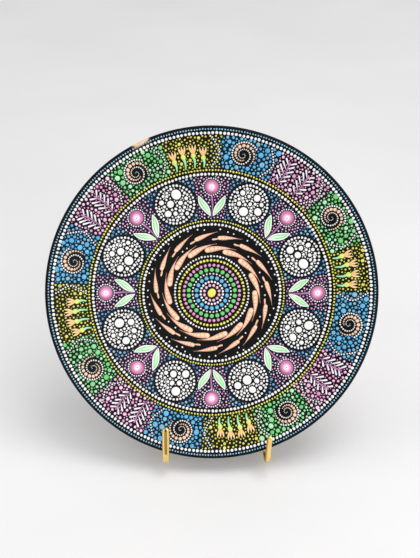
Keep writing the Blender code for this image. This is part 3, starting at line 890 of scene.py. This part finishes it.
def brass(name, base=(0.98, 0.72, 0.25), dark=(0.58, 0.35, 0.09), rough=0.20, hook=None):
    mat, nodes, links, bsdf = new_material(name)
    co = nodes.new("ShaderNodeTexCoord").outputs["Object"]
    tarnish = noise(nodes, links, co, 130, 5, 0.62)
    fine = noise(nodes, links, co, 1500, 3, 0.6, (1.0, 1.0, 0.08))
    spots = noise(nodes, links, co, 520, 4, 0.7)
    f = spread(nodes, links, tarnish, 0.0, 0.5, 0.50, 0.78)
    c = mix(nodes, links, f, (*base, 1), (*dark, 1))
    f2 = spread(nodes, links, spots, 0.0, 0.28, 0.62, 0.72)
    c = mix(nodes, links, f2, c, (0.30, 0.15, 0.05, 1))
    if hook:
        # painted shade and reflection: a darker brass colour on the sides of each hook wire and between the wires, on
        # the front part of the hook only
        centre, slope, z0, inner, outer, back = hook
        xyz = nodes.new("ShaderNodeSeparateXYZ")
        links.new(co, xyz.inputs[0])
        lean_ = node(nodes, "ShaderNodeMath", operation="MULTIPLY_ADD")
        links.new(xyz.outputs["Z"], lean_.inputs[0])
        lean_.inputs[1].default_value = -slope
        lean_.inputs[2].default_value = slope * z0 - centre
        off = node(nodes, "ShaderNodeMath", operation="ADD")
        links.new(xyz.outputs["X"], off.inputs[0])
        links.new(lean_.outputs[0], off.inputs[1])
        away = node(nodes, "ShaderNodeMath", operation="ABSOLUTE")
        links.new(off.outputs[0], away.inputs[0])
        o_f = spread(nodes, links, away.outputs[0], 0.0, 1.0, outer - 0.0008, outer)
        i_f = spread(nodes, links, away.outputs[0], 1.0, 0.0, inner, inner + 0.0006)
        both = node(nodes, "ShaderNodeMath", operation="MAXIMUM")
        links.new(o_f, both.inputs[0])
        links.new(i_f, both.inputs[1])
        front_f = spread(nodes, links, xyz.outputs["Y"], 0.85, 0.0, back - 0.002, back)
        amount = node(nodes, "ShaderNodeMath", operation="MULTIPLY")
        links.new(both.outputs[0], amount.inputs[0])
        links.new(front_f, amount.inputs[1])
        c = mix(nodes, links, amount.outputs[0], c, (0.40, 0.23, 0.05, 1))
    links.new(c, bsdf.inputs["Base Color"])
    bsdf.inputs["Metallic"].default_value = 1.0
    links.new(spread(nodes, links, tarnish, rough - 0.06, rough + 0.16), bsdf.inputs["Roughness"])
    bumps(nodes, links, bsdf, [(fine, 0.000012), (tarnish, 0.00005)], 0.5)
    return mat


wire_mat = brass("polished_brass")
rod_mat = brass("brass_rod", (0.78, 0.50, 0.18), (0.38, 0.20, 0.07), 0.30)

rubber, nodes, links, bsdf = new_material("foot_rubber")
co = nodes.new("ShaderNodeTexCoord").outputs["Object"]
n1 = noise(nodes, links, co, 300, 4, 0.6)
n2 = noise(nodes, links, co, 1800, 2)
c = mix(nodes, links, spread(nodes, links, n1, 0, 1), (0.62, 0.60, 0.54, 1), (0.50, 0.47, 0.40, 1))
links.new(c, bsdf.inputs["Base Color"])
links.new(spread(nodes, links, n1, 0.42, 0.62), bsdf.inputs["Roughness"])
bsdf.inputs["Subsurface Weight"].default_value = 0.15
bsdf.inputs["Subsurface Radius"].default_value = (0.002, 0.0018, 0.0015)
bumps(nodes, links, bsdf, [(n1, 0.00005), (n2, 0.00002)], 0.6)

left_low, left_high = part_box("left_support")
right_low, right_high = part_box("right_support")
hook_z = RIM_HEIGHT * 0.4
# the two hook materials carry a painted shade on the sides of their wires and between them
left_mat = brass("left_brass", hook=(LEFT_X, 0.0, hook_z, 0.0006, 0.0029, left_low.y + 0.016))
right_mat = brass("right_brass", hook=(RIGHT_X, 0.0018 / 0.022, hook_z, -0.001, 0.0022, right_low.y + 0.016))
# painted shade: dark brass for the thin sheet set between the left hook's strands
shade_brass = brass("dark_brass", (0.42, 0.26, 0.07), (0.22, 0.12, 0.03), 0.34)

for n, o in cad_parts.items():
    if n == "plate":
        continue
    m = rubber if n.endswith("_pad") else rod_mat if n in ("hinge_rod", "lower_crossbar") else wire_mat
    m = {"left_support": left_mat, "right_support": right_mat}.get(n, m)
    for slot in o.material_slots:
        slot.material = m

# ------------------------------------------------------------------ solder on the brass
def rim_low(x):
    best = 1.0
    for k in range(25):
        r = PLATE_R - 0.0100 * k / 24
        if abs(x) < r:
            w = -math.sqrt(r * r - x * x)
            best = min(best, float((CENTRE + UP * w + BACK * float(back_depth(min(r, PLATE_R - 0.0008))))[2]))
    return best


def sheet(name, path, half, thick, mat):
    """A thin web between two strands (the solder webs, and the left hook's dark sheet of painted shade): half is its
    half width at each point of the path (y, z).
    """
    path = np.asarray(path)
    t = np.gradient(path, axis=0)
    t /= np.linalg.norm(t, axis=1, keepdims=True)
    n_ = np.stack([-t[:, 1], t[:, 0]], 1)
    u = np.array([-1, -0.75, -0.4, 0, 0.4, 0.75, 1])
    v = np.array([0.80, 0.62, 0.50, 0.46, 0.50, 0.62, 0.80])
    ring_u = np.concatenate([u, u[::-1]])
    ring_v = np.concatenate([v, -v])
    end = np.minimum(1.0, np.minimum(np.arange(len(path)), np.arange(len(path))[::-1]) / 2.0 + 0.25)
    verts = []
    for (x, y, z), (ny, nz), h, e in zip(path3(name, path), n_, half, end):
        verts.append(np.stack([x + ring_u * h, y + ring_v * ny * thick * e, z + ring_v * nz * thick * e], 1))
    verts = np.array(verts)
    m = len(ring_u)
    idx = np.arange(len(path) * m).reshape(len(path), m)
    nx = np.roll(idx, -1, 1)
    q = np.stack([idx[:-1], nx[:-1], nx[1:], idx[1:]], -1).reshape(-1, 4)
    st = Store()
    st.add(verts.reshape(-1, 3), [q, idx[:1, ::-1], idx[-1:]], np.ones((len(path) * m, 3)))
    piece = st.make(name, mat)
    tidy(piece)
    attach(piece, "stand")
    return piece


def tidy(piece):
    bm_ = bmesh.new()
    bm_.from_mesh(piece.data)
    bmesh.ops.recalc_face_normals(bm_, faces=bm_.faces)
    bm_.to_mesh(piece.data)
    bm_.free()


def path3(name, path):
    x, tilt = (LEFT_X, 0.0) if name.startswith("left") else (RIGHT_X, 0.0018)
    top = path[:, 1].max()
    low_ = path[:, 1].min()
    return [(x + tilt * (z - low_) / (top - low_) * HOOK_SHARE[name], y, z) for y, z in path]


HOOK_SHARE = {"left_hook_solder": 0.0, "right_hook_solder": 0.94}
for name, x, forward_, lean_, up_, dip, keys, start in (
        ("left_hook_solder", LEFT_X, 0.0080, 0.0046, 0.0232, 0.0028,
         [(0.0, 0.0034), (0.010, 0.0038), (0.025, 0.0027), (0.036, 0.0027)], 0.0205),
        ("right_hook_solder", RIGHT_X, 0.0118, 0.0040, 0.0162, 0.0016,
         [(0.0, 0.0023), (0.022, 0.0024), (0.050, 0.0060)], 0.0012)):
    rim = CENTRE + UP * -math.sqrt(PLATE_R**2 - x * x)
    arm_z = rim_low(x) - GAP - WIRE_R
    tip = np.array([rim[1] - forward_ + lean_, rim[2] + up_])
    low_p = np.array([rim[1] - forward_, arm_z + 0.0012 - dip])
    under = np.array([rim[1] + 0.004, arm_z - 0.0008])
    d0, d1 = tip - low_p, under - low_p
    l0, l1 = np.linalg.norm(d0), np.linalg.norm(d1)
    d0, d1 = d0 / l0, d1 / l1
    turn_ = math.pi - math.acos(float(d0 @ d1))
    cut = 0.0030 * math.tan(turn_ / 2)
    middle = low_p + (d0 + d1) / np.linalg.norm(d0 + d1) * 0.0030 / math.cos(turn_ / 2)
    a0, a1 = low_p + d0 * cut - middle, low_p + d1 * cut - middle
    curve = [middle + (a0 * math.sin((1 - f) * turn_) + a1 * math.sin(f * turn_)) / math.sin(turn_)
             for f in np.linspace(0, 1, 9)]
    whole = np.array([tip] + curve + [low_p + d1 * min(l1 - 0.0002, cut + 0.0085)])
    s_ = arc_lengths(whole)
    at = np.arange(start, s_[-1], 0.0006)
    path = np.stack([np.interp(at, s_, whole[:, 0]), np.interp(at, s_, whole[:, 1])], 1)
    half = np.array([np.interp(v, [k for k, _ in keys], [w for _, w in keys]) / 2 for v in at])
    sheet(name, path, half, WIRE_R * 0.9, right_mat if name.startswith("right") else wire_mat)
    if name.startswith("left"):
        # painted shade: a thin dark brass sheet set back between the strands, standing in for the shade in the gap
        at = np.arange(0.0010, start + 0.0005, 0.0006)
        path = np.stack([np.interp(at, s_, whole[:, 0]) + 0.00035, np.interp(at, s_, whole[:, 1])], 1)
        half = np.array([np.interp(v, [k for k, _ in keys], [w for _, w in keys]) / 2 for v in at])
        HOOK_SHARE["left_hook_shade_sheet"] = 0.0
        sheet("left_hook_shade_sheet", path, half, WIRE_R * 0.35, shade_brass)

# drops of solder where the rods cross the supports
for rod, mat in (("hinge_rod", rod_mat), ("lower_crossbar", rod_mat)):
    lo_, hi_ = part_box(rod)
    ry, rz = (lo_.y + hi_.y) / 2, (lo_.z + hi_.z) / 2
    st = Store()
    for support in ("left_support", "right_support"):
        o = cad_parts[support]
        co_ = np.empty(len(o.data.vertices) * 3)
        o.data.vertices.foreach_get("co", co_)
        co_ = co_.reshape(-1, 3) @ np.array(o.matrix_world.to_3x3()).T + np.array(o.matrix_world.translation)
        mid_x = LEFT_X if support == "left_support" else RIGHT_X
        for side_ in (-1, 1):
            near = (np.abs(co_[:, 2] - rz) < 0.016) & (np.abs(co_[:, 1] - ry) < 0.016) & ((co_[:, 0] - mid_x) * side_ > 0)
            if near.sum() < 8:
                continue
            b_, a_ = np.polyfit(co_[near, 2], co_[near, 1], 1)
            sx = float(co_[near, 0].mean())
            sy = a_ + b_ * rz
            w_ = ry - sy
            contact = sy + math.copysign(WIRE_R + GAP / 2, w_)
            th = np.linspace(0, math.pi, 11)[:, None]
            ph = np.linspace(0, 2 * math.pi, 17)[None, :-1]
            rough_ = 1 + 0.06 * rng.normal(size=(11, 16))
            rough_[0] = rough_[-1] = 1
            px = sx + 0.0016 * np.sin(th) * np.cos(ph) * rough_
            py = contact + 0.0009 * np.sin(th) * np.sin(ph) * rough_
            pz = rz + 0.0017 * np.cos(th) * rough_
            v_ = np.stack([px, py, pz], -1)
            i_ = np.arange(11 * 16).reshape(11, 16)
            n2_ = np.roll(i_, -1, 1)
            q_ = np.stack([i_[:-1], n2_[:-1], n2_[1:], i_[1:]], -1).reshape(-1, 4)
            st.add(v_.reshape(-1, 3), [q_], np.ones((176, 3)))
    if st.count:
        piece = st.make(rod + "_solder", wire_mat)
        bm_ = bmesh.new()
        bm_.from_mesh(piece.data)
        bmesh.ops.remove_doubles(bm_, verts=bm_.verts, dist=0.00002)
        bmesh.ops.recalc_face_normals(bm_, faces=bm_.faces)
        bm_.to_mesh(piece.data)
        bm_.free()
        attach(piece, "stand")
        print(rod + "_solder", len(piece.data.polygons), "faces")

# ------------------------------------------------------------------ the plate itself
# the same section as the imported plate, with a finer step: face, rounded edge, back, foot ring, middle of the back
prof = [(r, float(face_depth(r))) for r in np.linspace(0.0001, PLATE_R - 0.0016, 128)]
r0 = PLATE_R - 0.0016
mid_d, half_d = (float(face_depth(r0)) + float(back_depth(r0))) / 2, (float(back_depth(r0)) - float(face_depth(r0))) / 2
for k in range(1, 18):
    a = math.pi / 2 - math.pi * k / 18
    prof.append((r0 + 0.0016 * math.cos(a), mid_d - half_d * math.sin(a)))
prof += [(r, float(back_depth(r))) for r in np.linspace(r0, RING_OUT + 0.0022, 50)]
prof += [(RING_OUT + 0.0013, float(back_depth(RING_OUT + 0.0013)) + 0.0002),
         (RING_OUT + 0.0006, RING_PLANE - 0.0016), (RING_OUT + 0.0001, RING_PLANE - 0.0006),
         (RING_OUT - 0.0007, RING_PLANE), (RING_OUT - 0.0030, RING_PLANE), (RING_IN + 0.0007, RING_PLANE),
         (RING_IN - 0.0001, RING_PLANE - 0.0006), (RING_IN - 0.0007, RING_PLANE - 0.0016),
         (RING_IN - 0.0014, float(back_depth(RING_IN - 0.0014)) + 0.0002)]
prof += [(r, float(back_depth(r))) for r in np.linspace(RING_IN - 0.0024, 0.0001, 40)]
fine_r, fine_d = np.array(prof).T
SEG = 720
ang = np.arange(SEG) * 2 * math.pi / SEG
R2 = np.maximum(fine_r, 0.00002)
A, RR = np.meshgrid(ang, R2)
# hand-made: the foot ring and the back wander a little, the face stays true
behind = np.clip((fine_d - face_depth(fine_r)) / 0.004, 0, 1)[:, None]
DD = fine_d[:, None] - behind * 0.00012 * (1 + np.sin(3 * A + 1.0) * 0.6 + 0.4 * np.sin(7 * A)) * (RR < 0.127)
DD = DD + behind * (RR < 0.124) * 0.00007 * np.sin(RR * 2 * math.pi / 0.0052)
pts = (CENTRE + (RR * np.cos(A))[..., None] * EX + (RR * np.sin(A))[..., None] * UP + DD[..., None] * BACK)
rows_n = len(R2)
verts = pts.reshape(-1, 3)
idx = np.arange(rows_n * SEG).reshape(rows_n, SEG)
nxt = np.roll(idx, -1, 1)
quads = np.stack([idx[:-1], idx[1:], nxt[1:], nxt[:-1]], -1).reshape(-1, 4)
caps = [idx[0][None], idx[-1][::-1][None]]
# tint of each vertex
tint = np.tile(srgb((5, 5, 7)), (rows_n, SEG, 1))
U = CX + (RR * np.cos(A)) / UNIT
V = CY - (RR * np.sin(A) + face_depth(RR) * math.tan(TILT)) / UNIT / (1 + face_depth(RR) / DISTANCE)
front = DD < face_depth(RR) + 0.0004
ci = np.clip(((U - X0) * CELLS).astype(int), 0, SIDE * CELLS - 1)
cj = np.clip(((V - Y0) * CELLS).astype(int), 0, SIDE * CELLS - 1)
tint_map = np.tile(srgb((5, 5, 7)), (*GX.shape, 1)).astype(np.float32)
for m, t in grounds + grounds_top:
    tint_map[m] = srgb(t)
from_map = tint_map[cj, ci]
tint = np.where(front[..., None], from_map, tint)
# the back: clay body under dark paint, the foot ring left bare
foot = (np.abs(RR - (RING_OUT + RING_IN) / 2) < (RING_OUT - RING_IN) / 2 + 0.0004) & (DD > back_depth(RR) + RING_HEIGHT * 0.55)
tint[foot] = srgb((196, 150, 108))
# a place on the rim, upper left, where the paint has come off and the clay shows
ang_d = np.degrees(A)
edge = 0.0040 + 0.0006 * np.sin(ang_d * 1.3) + 0.0004 * np.sin(ang_d * 2.9 + 1)
chip = (ang_d > 112.2) & (ang_d < 118.2) & (RR > PLATE_R - 0.85 * edge * np.sin(np.clip((ang_d - 112.2) / 6, 0, 1) * math.pi) ** 0.6)
chip &= DD < face_depth(RR) + 0.0030
tint[chip] = srgb((226, 192, 152))
chip_edge = ~chip & (ang_d > 111.6) & (ang_d < 118.8) & (RR > PLATE_R - edge * 1.05) & (DD < face_depth(RR) + 0.0038)
tint[chip_edge] = srgb((96, 62, 34))
store = Store()
store.add(verts, [quads[:, ::-1], caps[0][:, ::-1], caps[1][:, ::-1]], tint.reshape(-1, 3))
plate = store.make("glazed_plate", glaze)
bm = bmesh.new()
bm.from_mesh(plate.data)
bmesh.ops.recalc_face_normals(bm, faces=bm.faces)
bm.to_mesh(plate.data)
bm.free()
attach(plate, "plate")
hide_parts("plate")

# ------------------------------------------------------------------ painted pieces
for dots, name in ((W, "dots_white"), (B, "dots_blue"), (GR, "dots_green"), (Y, "dots_yellow"), (P, "dots_pink"),
                   (PE, "dots_peach")):
    print(name, len(dots.rows))
    dots.make(G[name])
for name, st in G.items():
    if not st.count:
        continue
    m = paints["white"] if "white" in name else paints["field"] if name == "leaves" else paints["colour"]
    piece = st.make(name, m)
    print(name, len(piece.data.polygons), "faces")
    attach(piece, "plate")

# ------------------------------------------------------------------ floor, light and camera
floor_mesh = bpy.data.meshes.new("floor")
bm = bmesh.new()
bmesh.ops.create_grid(bm, x_segments=260, y_segments=260, size=9.0)
for v in bm.verts:
    far = math.hypot(v.co.x, v.co.y)
    v.co.z = -0.00005 + 0.010 * max(0.0, min(1.0, (far - 0.25) / 0.6)) * (
        0.5 * math.sin(v.co.x * 5.1 + 1.0 + 1.3 * math.sin(v.co.y * 3.0)) + 0.5 * math.sin(v.co.y * 4.0 + v.co.x)) - (
        0.010 * max(0.0, min(1.0, (far - 0.25) / 0.6)))
bm.to_mesh(floor_mesh)
bm.free()
for p in floor_mesh.polygons:
    p.use_smooth = True
floor = bpy.data.objects.new("floor", floor_mesh)
bpy.context.scene.collection.objects.link(floor)
cloth, nodes, links, bsdf = new_material("pale_surface")
co = nodes.new("ShaderNodeTexCoord").outputs["Object"]
n1 = noise(nodes, links, co, 5, 3)
n2 = noise(nodes, links, co, 700, 2)
c = mix(nodes, links, spread(nodes, links, n1, 0, 1), (0.86, 0.85, 0.85, 1), (0.82, 0.815, 0.82, 1))
links.new(c, bsdf.inputs["Base Color"])
bsdf.inputs["Roughness"].default_value = 0.9
bsdf.inputs["Specular IOR Level"].default_value = 0.1
bumps(nodes, links, bsdf, [(n2, 0.0002)], 0.4)
floor_mesh.materials.append(cloth)


def area(name, place, aim, size, watts, colour=(1, 1, 1)):
    data = bpy.data.lights.new(name, "AREA")
    data.shape = "DISK"
    data.size = size
    data.energy = watts
    data.color = colour
    o = bpy.data.objects.new(name, data)
    o.location = place
    o.rotation_euler = (Vector(aim) - Vector(place)).to_track_quat("-Z", "Y").to_euler()
    bpy.context.scene.collection.objects.link(o)
    return o


aim = (0.0, -0.02, 0.08)
area("key", (0.55, -0.35, 1.9), aim, 1.3, 14)
area("front_fill", (0.9, -2.2, 1.1), aim, 1.8, 19)
area("left_fill", (-2.0, -0.6, 1.2), aim, 1.8, 4)
world = bpy.data.worlds.new("soft_studio")
world.use_nodes = True
bg = world.node_tree.nodes["Background"]
bg.inputs[0].default_value = (1.0, 1.0, 1.0, 1)
bg.inputs[1].default_value = 0.70
bpy.context.scene.world = world
bpy.context.scene.view_settings.view_transform = "Standard"

cam_data = bpy.data.cameras.new("camera")
cam_data.lens = 36.0 * DISTANCE / (558 * UNIT)
cam_data.sensor_width = 36.0
cam = bpy.data.objects.new("camera", cam_data)
forward = Vector((0, math.cos(ELEVATION), -math.sin(ELEVATION)))
cam_up = Vector((0, math.sin(ELEVATION), math.cos(ELEVATION)))
target = Vector(CENTRE) + Vector((1, 0, 0)) * (210 - CX) * UNIT + cam_up * (CY - 279) * UNIT
cam.location = target - forward * DISTANCE
cam.rotation_euler = forward.to_track_quat("-Z", "Y").to_euler()
bpy.context.scene.collection.objects.link(cam)
bpy.context.scene.camera = cam
